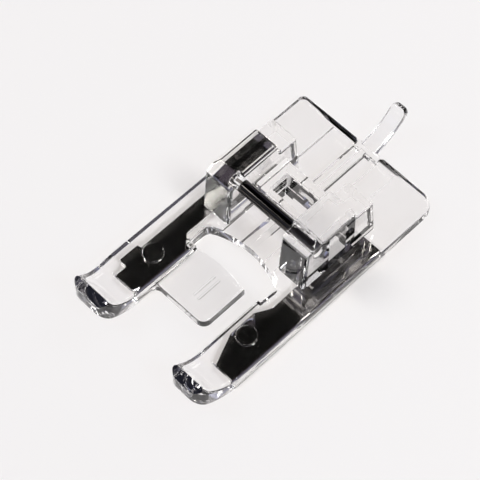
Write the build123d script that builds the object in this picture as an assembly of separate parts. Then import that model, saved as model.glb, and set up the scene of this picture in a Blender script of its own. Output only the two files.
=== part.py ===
"""Clear clip-on presser foot: one moulded body, a steel crossbar and two steel sole plates.

Millimetres. +X is the sewer's right, +Y points to the rear, +Z is up. Sizes are laid out from the
crossbar along Y and from the sole along Z; the finished pieces are moved so that the origin is on
the crossbar's axis, midway between the ears.
"""
import math
import os
from build123d import *

# Crossbar, the bar that the machine's ankle clips on
bar_height = 9.6
bar_diameter = 2.0
bar_end_inset = 0.4
bar_blind_depth = 1.5
bar_mouth_chamfer = 0.35

# Plan of the moulded body
foot_width = 25.7
toe_reach = 25.1
rear_reach = 20.3
toe_gap = 11.9
toe_gap_offset = 0.35
tip_taper = 0.6
tip_taper_length = 7.0
tip_outer_radius = 2.0
tip_inner_radius = 1.9
rear_left_radius = 1.1
rear_right_radius = 2.4

# Side view of the toes and the rear plate
toe_height = 2.9
rear_thickness = 2.1
tip_lift = 2.8
tip_run = 6.5
tip_rise = 3.3
tip_bevel_drop = 1.0
tip_bevel_run = 1.3
toe_edge_radius = 0.5
sole_edge_radius = 0.55

# Needle opening behind the tongue
opening_width = 13.4
opening_rear = 3.1
opening_bow = 1.7
opening_corner_radius = 1.5

# Tongue that reaches across from the left toe, and the thread slit at its end
tongue_front = 15.8
tongue_rear = 8.1
tongue_bottom = 0.6
tongue_top = 2.1
tongue_rear_bow = 0.5
tongue_corner_radius = 1.3
tongue_root_radius = 1.2
tongue_edge_radius = 0.4
thread_slit = 2.6

# Sight lines moulded on the tongue
sight_line_pitch = 0.9
sight_line_width = 0.3
sight_line_height = 0.15
sight_line_length = 4.0
sight_line_inset = 2.2

# Ears that carry the crossbar
ear_gap = 9.4
ear_thickness = 4.9
ear_top = 11.8
ear_front = 2.9
ear_front_rake = 0.6
ear_brow_drop = 1.3
ear_top_front = 0.1
ear_top_rear = 6.8
ear_step_drop = 2.0
ear_step_run = 0.4
ear_rear = 11.3
ear_rear_rake = 0.8
ear_side_chamfer = 0.8
ear_edge_radius = 0.5

# Pad between the ears, behind the crossbar
pad_top = 6.9
pad_front = 2.6
pad_rear = 8.5
pad_lip_width = 0.75
pad_lip_height = 0.4
pad_edge_radius = 0.3
pad_wall = 1.3

# Sunk window behind the ears, the rib that halves it and the shallow stitch tunnel below
window_width = 11.6
window_floor = 1.3
rear_bar = 1.2
rib_width = 0.9
rib_height = 0.35
tunnel_width = 4.4
tunnel_depth = 0.7

# Upturned tab at the rear edge
tab_width = 2.6
tab_reach = 5.6
tab_rise = 4.0
tab_thickness = 1.3
tab_root_depth = 1.5
tab_end_radius = 0.9
tab_root_radius = 0.7
tab_edge_radius = 0.3

# Steel sole plates, let flush into the underside of the toes
plate_thickness = 0.9
plate_front = 18.9
plate_rear = 9.4
left_plate_margin = 1.9
right_plate_margin = 0.65
left_plate_inset = 0.6
right_plate_inset = 0.7
plate_neck_margin = 1.5
plate_neck_front = 9.6
plate_neck_run = 2.3
plate_nose_width = 3.2
plate_lobe_width = 0.7
plate_lobe_front = 16.8
plate_lobe_rear = 13.4
plate_slant_run = 4.8
plate_corner_radius = 0.3
stud_diameter = 3.0
stud_height = 0.6
stud_reach = 12.8
stud_edge = 1.8

half_width = foot_width / 2
half_gap = ear_gap / 2
gap_left = toe_gap_offset - toe_gap / 2
gap_right = toe_gap_offset + toe_gap / 2
tip_top = toe_height + tip_rise
ear_outer = half_gap + ear_thickness
bar_left = -half_gap - bar_blind_depth
tongue_right = gap_right - thread_slit
left_plate = (left_plate_inset - gap_left, half_width - left_plate_margin)
right_plate = (right_plate_inset + gap_right, half_width - right_plate_margin)
past = foot_width
tolerance = 0.01


def block(x_span, y_span, z_span):
    """A box between three pairs of planes."""
    spans = (x_span, y_span, z_span)
    centre = [(low + high) / 2 for low, high in spans]
    return Pos(*centre) * Box(*[high - low for low, high in spans])


def rounded(face, places, radius):
    """Rounds the corners of a plan outline that lie at the given places."""
    reach = radius / 100
    near = [v for v in face.vertices() if any(abs(v.X - x) + abs(v.Y - y) < reach for x, y in places)]
    return fillet(near, radius)


def foot_outline():
    """Plan of the toes and the rear plate, round the gap that runs into the needle opening."""
    tip_x = half_width - tip_taper
    taper_y = tip_taper_length - toe_reach
    face = make_face(Polyline(
        (-tip_x, -toe_reach), (tip_x, -toe_reach), (half_width, taper_y), (half_width, rear_reach),
        (-half_width, rear_reach), (-half_width, taper_y), close=True,
    ))
    face = face - needle_way()
    sides = (-1, 1)
    face = rounded(face, [(-half_width, rear_reach)], rear_left_radius)
    face = rounded(face, [(half_width, rear_reach)], rear_right_radius)
    face = rounded(face, [(s * half_width, taper_y) for s in sides], tip_taper_length)
    face = rounded(face, [(s * tip_x, -toe_reach) for s in sides], tip_outer_radius)
    return rounded(face, [(x, -toe_reach) for x in (gap_left, gap_right)], tip_inner_radius)


def needle_way():
    """Plan of the gap between the toes and of the needle opening, which has a bowed rear rim."""
    wide = opening_width / 2
    shoulder = -opening_rear - opening_bow
    left, right = (-wide, shoulder), (wide, shoulder)
    mouth = -tongue_rear
    sides = Polyline(
        left, (-wide, mouth), (gap_left, mouth), (gap_left, -toe_reach - past),
        (gap_right, -toe_reach - past), (gap_right, mouth), (wide, mouth), right,
    )
    rim = ThreePointArc(right, (0, -opening_rear), left)
    face = make_face([*sides.edges(), rim])
    return rounded(face, [left, right], opening_corner_radius)


def foot_side():
    """Side view of the body carried across its width: tips that curl up, top falling to the rear."""
    heel, rear_top = (0, rear_reach, 0), (0, rear_reach, rear_thickness)
    lift_start, rise_start = (0, tip_run - toe_reach, 0), (0, tip_run - toe_reach, toe_height)
    tip_low, tip_high = (0, -toe_reach, tip_lift), (0, tip_bevel_run - toe_reach, tip_top)
    lift = TangentArc(lift_start, tip_low, tangent=(0, -1, 0))
    front = Polyline(tip_low, (0, -toe_reach, tip_top - tip_bevel_drop), tip_high)
    rise = TangentArc(rise_start, tip_high, tangent=(0, -1, 0))
    back = Polyline(rise_start, rear_top, heel, lift_start)
    face = make_face([lift, *front.edges(), rise, *back.edges()])
    return Pos(-half_width, 0, 0) * extrude(face, foot_width, dir=(1, 0, 0))


def wall_edges(slab):
    """Edges along the top and bottom of the slab's upright walls."""
    walls = [f for f in slab.faces() if abs(f.normal_at().Z) < tolerance]
    return [e for f in walls for e in f.edges().filter_by(Axis.Z, reverse=True)]


def rounded_slab(slab):
    """Rounds the top rim behind the bevel of the tips, and the edges of the flat part of the sole."""
    bevel_end = tip_bevel_run - toe_reach + toe_edge_radius
    high = [e for e in wall_edges(slab) if e.center().Z > rear_thickness / 2]
    slab = fillet([e for e in high if e.center().Y > bevel_end], toe_edge_radius)
    return fillet([e for e in wall_edges(slab) if e.center().Z < tolerance], sole_edge_radius)


def foot_slab():
    """Toes and rear plate, with a level channel between the ears and the sunk window behind it."""
    slab = rounded_slab(extrude(foot_outline(), tip_top) & foot_side())
    opening_front = -opening_rear - opening_bow
    channel = block((-half_gap, half_gap), (opening_front, ear_rear), (rear_thickness, past))
    half_window = window_width / 2
    window = block((-half_window, half_window), (pad_rear, rear_reach - rear_bar), (window_floor, past))
    return slab - channel - window


def tongue():
    """Thin web from the left toe towards the right one, with two raised sight lines on it."""
    left, right = gap_left, tongue_right
    front, rear = -tongue_front, -tongue_rear
    sides = Polyline((left, rear), (left, front), (right, front), (right, rear))
    back = ThreePointArc((right, rear), ((left + right) / 2, rear + tongue_rear_bow), (left, rear))
    face = rounded(make_face([*sides.edges(), back]), [(right, front)], tongue_corner_radius)
    web = Pos(0, 0, tongue_bottom) * extrude(face, tongue_top - tongue_bottom)
    rim = web.faces().sort_by(Axis.Z)[-1].edges()
    web = fillet(rim.filter_by(lambda e: e.center().X > left + tolerance), tongue_edge_radius)
    line_front = front + sight_line_inset
    for middle in (-sight_line_pitch / 2, sight_line_pitch / 2):
        web += block(
            (middle - sight_line_width / 2, middle + sight_line_width / 2),
            (line_front, line_front + sight_line_length),
            (tongue_bottom, tongue_top + sight_line_height),
        )
    root = corner_web(left, front, 1, -1, tongue_root_radius)
    return web + Pos(0, 0, tongue_bottom) * extrude(root, tongue_top - tongue_edge_radius - tongue_bottom)


def corner_web(x, y, x_way, y_way, radius):
    """Plan of the rounding of an inside corner at (x, y), open towards the two given ways."""
    on_arc = radius * (1 - 2 ** -0.5)
    along_x, along_y = (x + x_way * radius, y), (x, y + y_way * radius)
    bend = ThreePointArc(along_x, (x + x_way * on_arc, y + y_way * on_arc), along_y)
    return make_face([Line(along_y, (x, y)), Line((x, y), along_x), bend])


def ear(side):
    """One ear: raked front, sloping brow, flat top, and a lower step behind it."""
    floor = rear_thickness / 2
    step_z = ear_top - ear_step_drop
    view = Polyline(
        (0, -ear_front, floor), (0, -ear_front, toe_height),
        (0, ear_front_rake - ear_front, ear_top - ear_brow_drop), (0, -ear_top_front, ear_top),
        (0, ear_top_rear, ear_top), (0, ear_top_rear + ear_step_run, step_z),
        (0, ear_rear - ear_rear_rake, step_z), (0, ear_rear, rear_thickness), (0, ear_rear, floor),
        close=True,
    )
    inner, outer = side * half_gap, side * ear_outer
    shoulder = side * (ear_outer - ear_side_chamfer)
    section = Polyline(
        (inner, 0, floor), (outer, 0, floor), (outer, 0, ear_top - ear_side_chamfer),
        (shoulder, 0, ear_top), (inner, 0, ear_top), close=True,
    )
    length = extrude(make_face(section), past, dir=(0, 1, 0), both=True)
    solid = extrude(make_face(view), past, dir=(1, 0, 0), both=True) & length
    return fillet([e for e in solid.edges() if e.center().Z > toe_height], ear_edge_radius)


def along_bar(start, end):
    """A cylinder of the crossbar's diameter between two places on its axis."""
    rod = Cylinder(bar_diameter / 2, end - start, rotation=(0, 90, 0))
    return Pos((start + end) / 2, 0, bar_height) * rod


def crossbar_hole():
    """Hole for the crossbar: blind in the left ear, right through the other, with a chamfered mouth."""
    radius = bar_diameter / 2
    mouth = Cone(radius, radius + bar_mouth_chamfer, bar_mouth_chamfer, rotation=(0, 90, 0))
    return along_bar(bar_left, ear_outer) + Pos(ear_outer - bar_mouth_chamfer / 2, 0, bar_height) * mouth


def pad():
    """Raised pad between the ears with a low lip along both sides."""
    base = block((-half_gap, half_gap), (pad_front, pad_rear), (window_floor, pad_top))
    for side in (-1, 1):
        near, far = side * (half_gap - pad_lip_width), side * half_gap
        base += block(
            (min(near, far), max(near, far)), (pad_front, pad_rear), (pad_top, pad_top + pad_lip_height)
        )
    ends = base.edges().filter_by(Axis.X).filter_by(lambda e: e.center().Z > pad_top - tolerance)
    lips = base.edges().filter_by(Axis.Y).filter_by(lambda e: e.center().Z > pad_top + tolerance)
    inner = lips.filter_by(lambda e: abs(e.center().X) < half_gap - tolerance)
    return fillet([*ends, *inner], pad_edge_radius)


def pad_core():
    """Hollow that cores the pad out from below and leaves walls of one thickness."""
    half_core = half_gap - pad_wall
    return block(
        (-half_core, half_core), (pad_front + pad_wall, pad_rear - pad_wall), (-past, pad_top - pad_wall)
    )


def rib():
    """Low rib along the middle, from the rim of the needle opening to the tab."""
    strip = block(
        (-rib_width / 2, rib_width / 2),
        (-opening_rear - opening_bow, rear_reach - rear_bar),
        (window_floor, rear_thickness + rib_height),
    )
    return strip - extrude(needle_way(), past)


def tab():
    """Upturned tab of even thickness that rises from the rear edge in one bend."""
    start, end = rear_reach - tab_root_depth, rear_reach + tab_reach
    high = rear_thickness + tab_rise
    turn = 2 * math.atan2(tab_rise, end - start)
    low_root, high_root = (0, start, rear_thickness - tab_thickness), (0, start, rear_thickness)
    high_tip = (0, end, high)
    low_tip = (0, end + tab_thickness * math.sin(turn), high - tab_thickness * math.cos(turn))
    view = make_face([
        TangentArc(low_root, low_tip, tangent=(0, 1, 0)),
        Line(low_tip, high_tip),
        TangentArc(high_root, high_tip, tangent=(0, 1, 0)),
        Line(high_root, low_root),
    ])
    strip = Pos(-tab_width / 2, 0, 0) * extrude(view, tab_width, dir=(1, 0, 0))
    tip = strip.faces().sort_by(Axis.Y)[-1]
    strip = fillet(tip.edges().filter_by(Axis.X, reverse=True), tab_end_radius)
    strip = fillet(strip.edges().filter_by(lambda e: e.center().Y > rear_reach), tab_edge_radius)
    for side in (-1, 1):
        root = corner_web(side * tab_width / 2, rear_reach, side, 1, tab_root_radius)
        strip += Pos(0, 0, rear_thickness - tab_thickness) * extrude(root, tab_thickness - toe_edge_radius)
    return strip


def plate_outline(side):
    """Plan of one sole plate; the left one has a stepped nose, the right one a slanted nose."""
    inner, outer = left_plate if side < 0 else right_plate
    neck = opening_width / 2 + plate_neck_margin
    neck_rear = plate_neck_run - plate_neck_front
    rear_part = [(inner, -plate_neck_front), (neck, neck_rear), (neck, plate_rear), (outer, plate_rear)]
    if side < 0:
        nose_outer = outer - plate_lobe_width
        nose_inner = nose_outer - plate_nose_width
        front_part = [
            (outer, -plate_lobe_rear), (outer + plate_lobe_width, -plate_lobe_rear),
            (outer + plate_lobe_width, -plate_lobe_front), (nose_outer, -plate_lobe_front),
            (nose_outer, -plate_front), (nose_inner, -plate_front), (inner, -plate_lobe_front),
        ]
    else:
        front_part = [
            (outer, -plate_front), (outer - plate_nose_width, -plate_front),
            (inner, plate_slant_run - plate_front),
        ]
    points = [(side * x, y) for x, y in rear_part + front_part]
    return rounded(make_face(Polyline(*points, close=True)), points, plate_corner_radius)


def sole_plate(side):
    """Flat steel plate with a round stud pressed up from it, which holds it in the moulding."""
    stud_x = stud_edge - left_plate[1] if side < 0 else stud_edge + right_plate[0]
    stud = Pos(stud_x, -stud_reach) * Circle(stud_diameter / 2)
    return extrude(plate_outline(side), plate_thickness) + extrude(stud, plate_thickness + stud_height)


def clear_body():
    """The whole moulding, with the seats of the crossbar and the sole plates."""
    body = foot_slab() + tongue() + pad() + rib() + tab()
    for side in (-1, 1):
        body += ear(side)
    tunnel = block(
        (-tunnel_width / 2, tunnel_width / 2), (-opening_rear - opening_bow, rear_reach + past),
        (-past, tunnel_depth),
    )
    body -= tunnel + pad_core()
    for side in (-1, 1):
        body -= sole_plate(side)
    return body - crossbar_hole()


def crossbar():
    """Steel bar pressed in from the right, up to the end of the blind hole."""
    return along_bar(bar_left, ear_outer - bar_end_inset)


pieces = {
    "clear_body": clear_body(),
    "crossbar": crossbar(),
    "left_sole_plate": sole_plate(-1),
    "right_sole_plate": sole_plate(1),
}
os.makedirs("parts", exist_ok=True)
for name, piece in pieces.items():
    placed = Pos(0, 0, -bar_height) * piece
    export_step(placed, f"parts/{name}.step")
    print(name, len(placed.solids()), "solid(s),", round(placed.volume, 2), "mm3")
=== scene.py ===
# Clear presser foot with steel crossbar and sole plates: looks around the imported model
import math

import bmesh
import bpy
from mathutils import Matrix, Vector


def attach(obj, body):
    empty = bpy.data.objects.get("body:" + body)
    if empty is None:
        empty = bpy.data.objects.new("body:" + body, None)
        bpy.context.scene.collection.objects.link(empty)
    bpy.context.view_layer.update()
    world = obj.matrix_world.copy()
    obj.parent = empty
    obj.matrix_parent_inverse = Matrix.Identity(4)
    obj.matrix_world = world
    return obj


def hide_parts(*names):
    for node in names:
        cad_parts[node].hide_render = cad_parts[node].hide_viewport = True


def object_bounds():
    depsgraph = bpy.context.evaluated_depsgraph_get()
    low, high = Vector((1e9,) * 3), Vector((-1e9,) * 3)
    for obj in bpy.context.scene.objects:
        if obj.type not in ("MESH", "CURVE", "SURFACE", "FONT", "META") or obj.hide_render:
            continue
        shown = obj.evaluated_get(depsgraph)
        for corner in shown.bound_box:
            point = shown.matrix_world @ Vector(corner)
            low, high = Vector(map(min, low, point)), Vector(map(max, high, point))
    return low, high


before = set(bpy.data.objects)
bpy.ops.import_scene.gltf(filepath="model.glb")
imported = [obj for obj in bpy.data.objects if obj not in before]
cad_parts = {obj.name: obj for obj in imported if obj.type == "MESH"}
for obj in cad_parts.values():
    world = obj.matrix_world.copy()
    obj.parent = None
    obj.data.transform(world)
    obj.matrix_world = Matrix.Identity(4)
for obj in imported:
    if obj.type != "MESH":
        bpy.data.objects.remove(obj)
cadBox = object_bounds()
print("frame: nodes", sorted(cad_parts))


# a socket that can be used in Python maths; every operation adds a Math node
class Wire:
    def __init__(self, shader, socket):
        self.shader = shader
        self.socket = socket

    def calc(self, operation, first, second):
        return self.shader.add("ShaderNodeMath", {"operation": operation}, {0: first, 1: second})

    def __add__(self, other):
        return self.calc("ADD", self, other)

    def __sub__(self, other):
        return self.calc("SUBTRACT", self, other)

    def __rsub__(self, other):
        return self.calc("SUBTRACT", other, self)

    def __mul__(self, other):
        return self.calc("MULTIPLY", self, other)

    __radd__ = __add__
    __rmul__ = __mul__


# a node tree that is filled by add(type, settings, inputs)
class Shader:
    def __init__(self, owner):
        owner.use_nodes = True
        self.tree = owner.node_tree
        self.tree.nodes.clear()

    def add(self, kind, settings=None, inputs=None, output=0):
        node = self.tree.nodes.new(kind)
        for key, value in (settings or {}).items():
            if key == "stops":
                self.setStops(node.color_ramp, value)
            else:
                setattr(node, key, value)
        for key, value in (inputs or {}).items():
            if isinstance(value, Wire):
                self.tree.links.new(value.socket, node.inputs[key])
            else:
                node.inputs[key].default_value = value
        return Wire(self, node.outputs[output]) if node.outputs else node

    def setStops(self, ramp, stops):
        while len(ramp.elements) < len(stops):
            ramp.elements.new(1.0)
        for element, (place, colour) in zip(ramp.elements, stops):
            element.position = place
            element.color = colour

    # the Mix node's colour sockets go by number, because its float ones share their names
    def mixColours(self, factor, first, second):
        return self.add("ShaderNodeMix", {"data_type": "RGBA"}, {"Factor": factor, 6: first, 7: second}, output=2)

    def noise(self, scale, detail, stretch=(1, 1, 1)):
        place = self.add("ShaderNodeTexCoord", output="Object")
        spread = self.add("ShaderNodeMapping", {}, {"Vector": place, "Scale": stretch})
        return self.add("ShaderNodeTexNoise", {}, {"Vector": spread, "Scale": scale, "Detail": detail})


# clear plastic: full transmission, faint flow ripples, a shadow that stays pale
clearPlastic = {
    "tint": (1.0, 0.997, 1.0, 1), "ior": 1.53,
    "rippleScale": 260, "rippleDetail": 2, "rippleStrength": 0.25, "rippleHeight": 0.00003,
    "hazeScale": 900, "hazeDetail": 4, "roughLow": 0.0, "roughSpan": 0.02,
    "shadowTint": (1.0, 0.995, 0.99, 1), "wallTint": (0.97, 0.962, 0.953, 1),
}


def makeClearPlastic(look):
    material = bpy.data.materials.new("clearPlastic")
    shader = Shader(material)
    ripple = shader.noise(look["rippleScale"], look["rippleDetail"])
    haze = shader.noise(look["hazeScale"], look["hazeDetail"])
    bump = shader.add("ShaderNodeBump", {}, {
        "Height": ripple, "Strength": look["rippleStrength"], "Distance": look["rippleHeight"]})
    glass = shader.add("ShaderNodeBsdfPrincipled", {}, {
        "Base Color": look["tint"], "Transmission Weight": 1.0, "IOR": look["ior"],
        "Roughness": look["roughLow"] + haze * look["roughSpan"], "Normal": bump,
    })
    throughTop = shader.add("ShaderNodeBsdfTransparent", {}, {"Color": look["shadowTint"]})
    throughWall = shader.add("ShaderNodeBsdfTransparent", {}, {"Color": look["wallTint"]})
    normal = shader.add("ShaderNodeNewGeometry", output="Normal")
    rise = shader.add("ShaderNodeSeparateXYZ", {}, {"Vector": normal}, output="Z")
    passing = shader.add("ShaderNodeMixShader", {}, {0: 1 - rise * rise, 1: throughTop, 2: throughWall})
    isShadow = shader.add("ShaderNodeLightPath", output="Is Shadow Ray")
    isDiffuse = shader.add("ShaderNodeLightPath", output="Is Diffuse Ray")
    surface = shader.add("ShaderNodeMixShader", {}, {0: isShadow + isDiffuse, 1: glass, 2: passing})
    shader.add("ShaderNodeOutputMaterial", {}, {"Surface": surface})
    return material


# polished steel with fine lengthwise scratches
polishedSteel = {
    "colour": (0.62, 0.60, 0.57, 1), "worn": (0.50, 0.485, 0.46, 1), "cloudScale": 175, "cloudDetail": 3,
    "scratchScale": 700, "scratchDetail": 4, "scratchStrength": 0.3, "scratchHeight": 0.000004,
    "roughLow": 0.04, "roughSpan": 0.10,
}

# the crossbar's steel colour is made much darker than the plates: painted dark reflection, standing in for the
# black that polished steel shows of dark surroundings
steelPaintedDarkReflection = {**polishedSteel, "colour": (0.08, 0.076, 0.072, 1), "worn": (0.055, 0.052, 0.05, 1)}


def makeSteel(name, stretch, look):
    material = bpy.data.materials.new(name)
    shader = Shader(material)
    scratch = shader.noise(look["scratchScale"], look["scratchDetail"], stretch)
    cloud = shader.noise(look["cloudScale"], look["cloudDetail"])
    colour = shader.mixColours(cloud, look["colour"], look["worn"])
    bump = shader.add("ShaderNodeBump", {}, {
        "Height": scratch, "Strength": look["scratchStrength"], "Distance": look["scratchHeight"]})
    steel = shader.add("ShaderNodeBsdfPrincipled", {}, {
        "Base Color": colour, "Metallic": 1.0, "Roughness": look["roughLow"] + scratch * look["roughSpan"],
        "Normal": bump,
    })
    shader.add("ShaderNodeOutputMaterial", {}, {"Surface": steel})
    return material


# a copy of a CAD node with smooth curves and, where a width is given, broken edges;
# the shrink keeps steel and plastic faces apart
def smoothCopy(node, name, edges):
    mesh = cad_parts[node].data.copy()
    work = bmesh.new()
    work.from_mesh(mesh)
    bmesh.ops.remove_doubles(work, verts=work.verts, dist=edges["weld"])
    bmesh.ops.dissolve_limit(
        work, angle_limit=math.radians(edges["flat"]), verts=work.verts, edges=work.edges)
    if edges["width"]:
        limit = math.radians(edges["sharp"])
        sharp = [e for e in work.edges if e.is_manifold and e.calc_face_angle(0) > limit]
        bmesh.ops.bevel(
            work, geom=sharp, offset=edges["width"], offset_type="OFFSET", segments=edges["steps"],
            profile=edges["profile"], affect="EDGES", clamp_overlap=False, harden_normals=False)
    work.normal_update()
    for vertex in work.verts:
        vertex.co -= vertex.normal * edges["shrink"]
    work.to_mesh(mesh)
    work.free()
    mesh.materials.clear()
    mesh.polygons.foreach_set("use_smooth", [True] * len(mesh.polygons))
    mesh.set_sharp_from_angle(angle=math.radians(edges["crease"]))
    piece = bpy.data.objects.new(name, mesh)
    even = piece.modifiers.new("evenNormals", "WEIGHTED_NORMAL")
    even.keep_sharp = True
    even.weight = edges["weight"]
    cut = piece.modifiers.new("triangles", "TRIANGULATE")
    cut.keep_custom_normals = True
    bpy.context.collection.objects.link(piece)
    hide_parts(node)
    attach(piece, "root")
    return piece


plasticMaterial = makeClearPlastic(clearPlastic)
plateSteel = makeSteel("polishedSteelPlate", (1, 0.06, 1), polishedSteel)
# the bar takes the darkened steel colours, a painted dark reflection
barSteel = makeSteel("polishedSteelBar", (0.06, 1, 1), steelPaintedDarkReflection)
bodyEdges = {"weld": 1e-6, "flat": 0.5, "width": 0, "crease": 30, "weight": 100, "shrink": 0}
steelEdges = {**bodyEdges, "sharp": 40, "width": 0.00006, "steps": 1, "profile": 0.5, "shrink": 0.00002}
for nodeName, pieceName, edges, material, slot in (
        ("clear_body", "mouldedBody", bodyEdges, plasticMaterial, "clear_plastic"),
        ("crossbar", "steelCrossbar", steelEdges, barSteel, "polished_steel"),
        ("left_sole_plate", "leftSolePlate", steelEdges, plateSteel, "polished_steel"),
        ("right_sole_plate", "rightSolePlate", steelEdges, plateSteel, "polished_steel")):
    piece = smoothCopy(nodeName, pieceName, edges)
    piece.data.materials.append(material)
    print("piece:", pieceName, len(piece.data.polygons), "faces")

# a wide sheet of pale paper just under the sole
paper = {
    "half": 1.5, "drop": 0.0001, "cloudScale": 6, "cloudDetail": 2,
    "colour": (0.93, 0.915, 0.915, 1), "shade": (0.90, 0.885, 0.885, 1),
}


def makeFloor(look):
    material = bpy.data.materials.new("paleFloor")
    shader = Shader(material)
    cloud = shader.noise(look["cloudScale"], look["cloudDetail"])
    colour = shader.mixColours(cloud, look["colour"], look["shade"])
    surface = shader.add("ShaderNodeBsdfDiffuse", {}, {"Color": colour})
    shader.add("ShaderNodeOutputMaterial", {}, {"Surface": surface})
    level = cadBox[0][2] - look["drop"]
    half = look["half"]
    mesh = bpy.data.meshes.new("floor")
    corners = [(-half, -half, level), (half, -half, level), (half, half, level), (-half, half, level)]
    mesh.from_pydata(corners, [], [(0, 1, 2, 3)])
    mesh.materials.append(material)
    floor = bpy.data.objects.new("floor", mesh)
    bpy.context.collection.objects.link(floor)


makeFloor(paper)
print("floor laid")

# studio: a soft low glow under a dark ceiling, so the steel goes black, and three broad lamps round the foot
studio = {
    "stops": [(0.0, (0.20, 0.18, 0.165, 1)), (0.38, (0.16, 0.15, 0.155, 1)), (0.46, (0.29, 0.30, 0.44, 1)),
              (0.58, (0.27, 0.28, 0.41, 1)), (0.64, (0.11, 0.095, 0.12, 1)), (0.76, (0.085, 0.07, 0.085, 1)),
              (0.8, (0.004, 0.004, 0.004, 1)), (1.0, (0.002, 0.002, 0.002, 1))],
    "lamps": [
        {"name": "key", "azimuth": 215, "elevation": 48, "distance": 1.0, "size": 0.42, "watts": 5.1,
         "colour": (1.0, 0.99, 0.95)},
        {"name": "rearFill", "azimuth": 85, "elevation": 42, "distance": 1.0, "size": 0.5, "watts": 3.0,
         "colour": (1.0, 0.99, 0.95)},
        {"name": "rightFill", "azimuth": 5, "elevation": 45, "distance": 1.0, "size": 0.35, "watts": 5.0,
         "colour": (0.97, 0.985, 0.97)},
    ],
}


def towards(azimuth, elevation):
    flat = math.cos(math.radians(elevation))
    turn = math.radians(azimuth)
    return Vector((flat * math.cos(turn), flat * math.sin(turn), math.sin(math.radians(elevation))))


def lightStudio(look):
    world = bpy.data.worlds.new("studio")
    bpy.context.scene.world = world
    shader = Shader(world)
    direction = shader.add("ShaderNodeTexCoord", output="Generated")
    height = shader.add("ShaderNodeSeparateXYZ", {}, {"Vector": direction}, output="Z")
    sky = shader.add("ShaderNodeValToRGB", {"stops": look["stops"]}, {"Fac": height})
    glow = shader.add("ShaderNodeBackground", {}, {"Color": sky, "Strength": 1.0})
    shader.add("ShaderNodeOutputWorld", {}, {"Surface": glow})
    for lamp in look["lamps"]:
        data = bpy.data.lights.new(lamp["name"], "AREA")
        data.shape = "DISK"
        data.size = lamp["size"]
        data.energy = lamp["watts"]
        data.color = lamp["colour"]
        lampObject = bpy.data.objects.new(lamp["name"], data)
        way = towards(lamp["azimuth"], lamp["elevation"])
        lampObject.location = way * lamp["distance"]
        lampObject.rotation_euler = way.to_track_quat("Z", "Y").to_euler()
        bpy.context.collection.objects.link(lampObject)


lightStudio(studio)
print("studio lit")

# camera at the photograph's angle
shot = {
    "azimuth": -45.0, "elevation": 60.0, "distance": 0.300, "lens": 164.5, "sensor": 36, "nearest": 0.01,
    "target": (0.0, -0.00215, -0.0096), "slideRight": -0.00219, "slideUp": 0.00172,
}


def setCamera(look):
    back = towards(look["azimuth"], look["elevation"])
    right = Vector((0, 0, 1)).cross(back).normalized()
    up = back.cross(right)
    aim = Vector(look["target"]) + right * look["slideRight"] + up * look["slideUp"]
    data = bpy.data.cameras.new("camera")
    data.lens = look["lens"]
    data.sensor_width = look["sensor"]
    data.clip_start = look["nearest"]
    camera = bpy.data.objects.new("camera", data)
    camera.location = aim + back * look["distance"]
    camera.rotation_euler = back.to_track_quat("Z", "Y").to_euler()
    bpy.context.collection.objects.link(camera)
    bpy.context.scene.camera = camera


setCamera(shot)
bpy.context.scene.view_settings.view_transform = "Standard"
print("camera set")
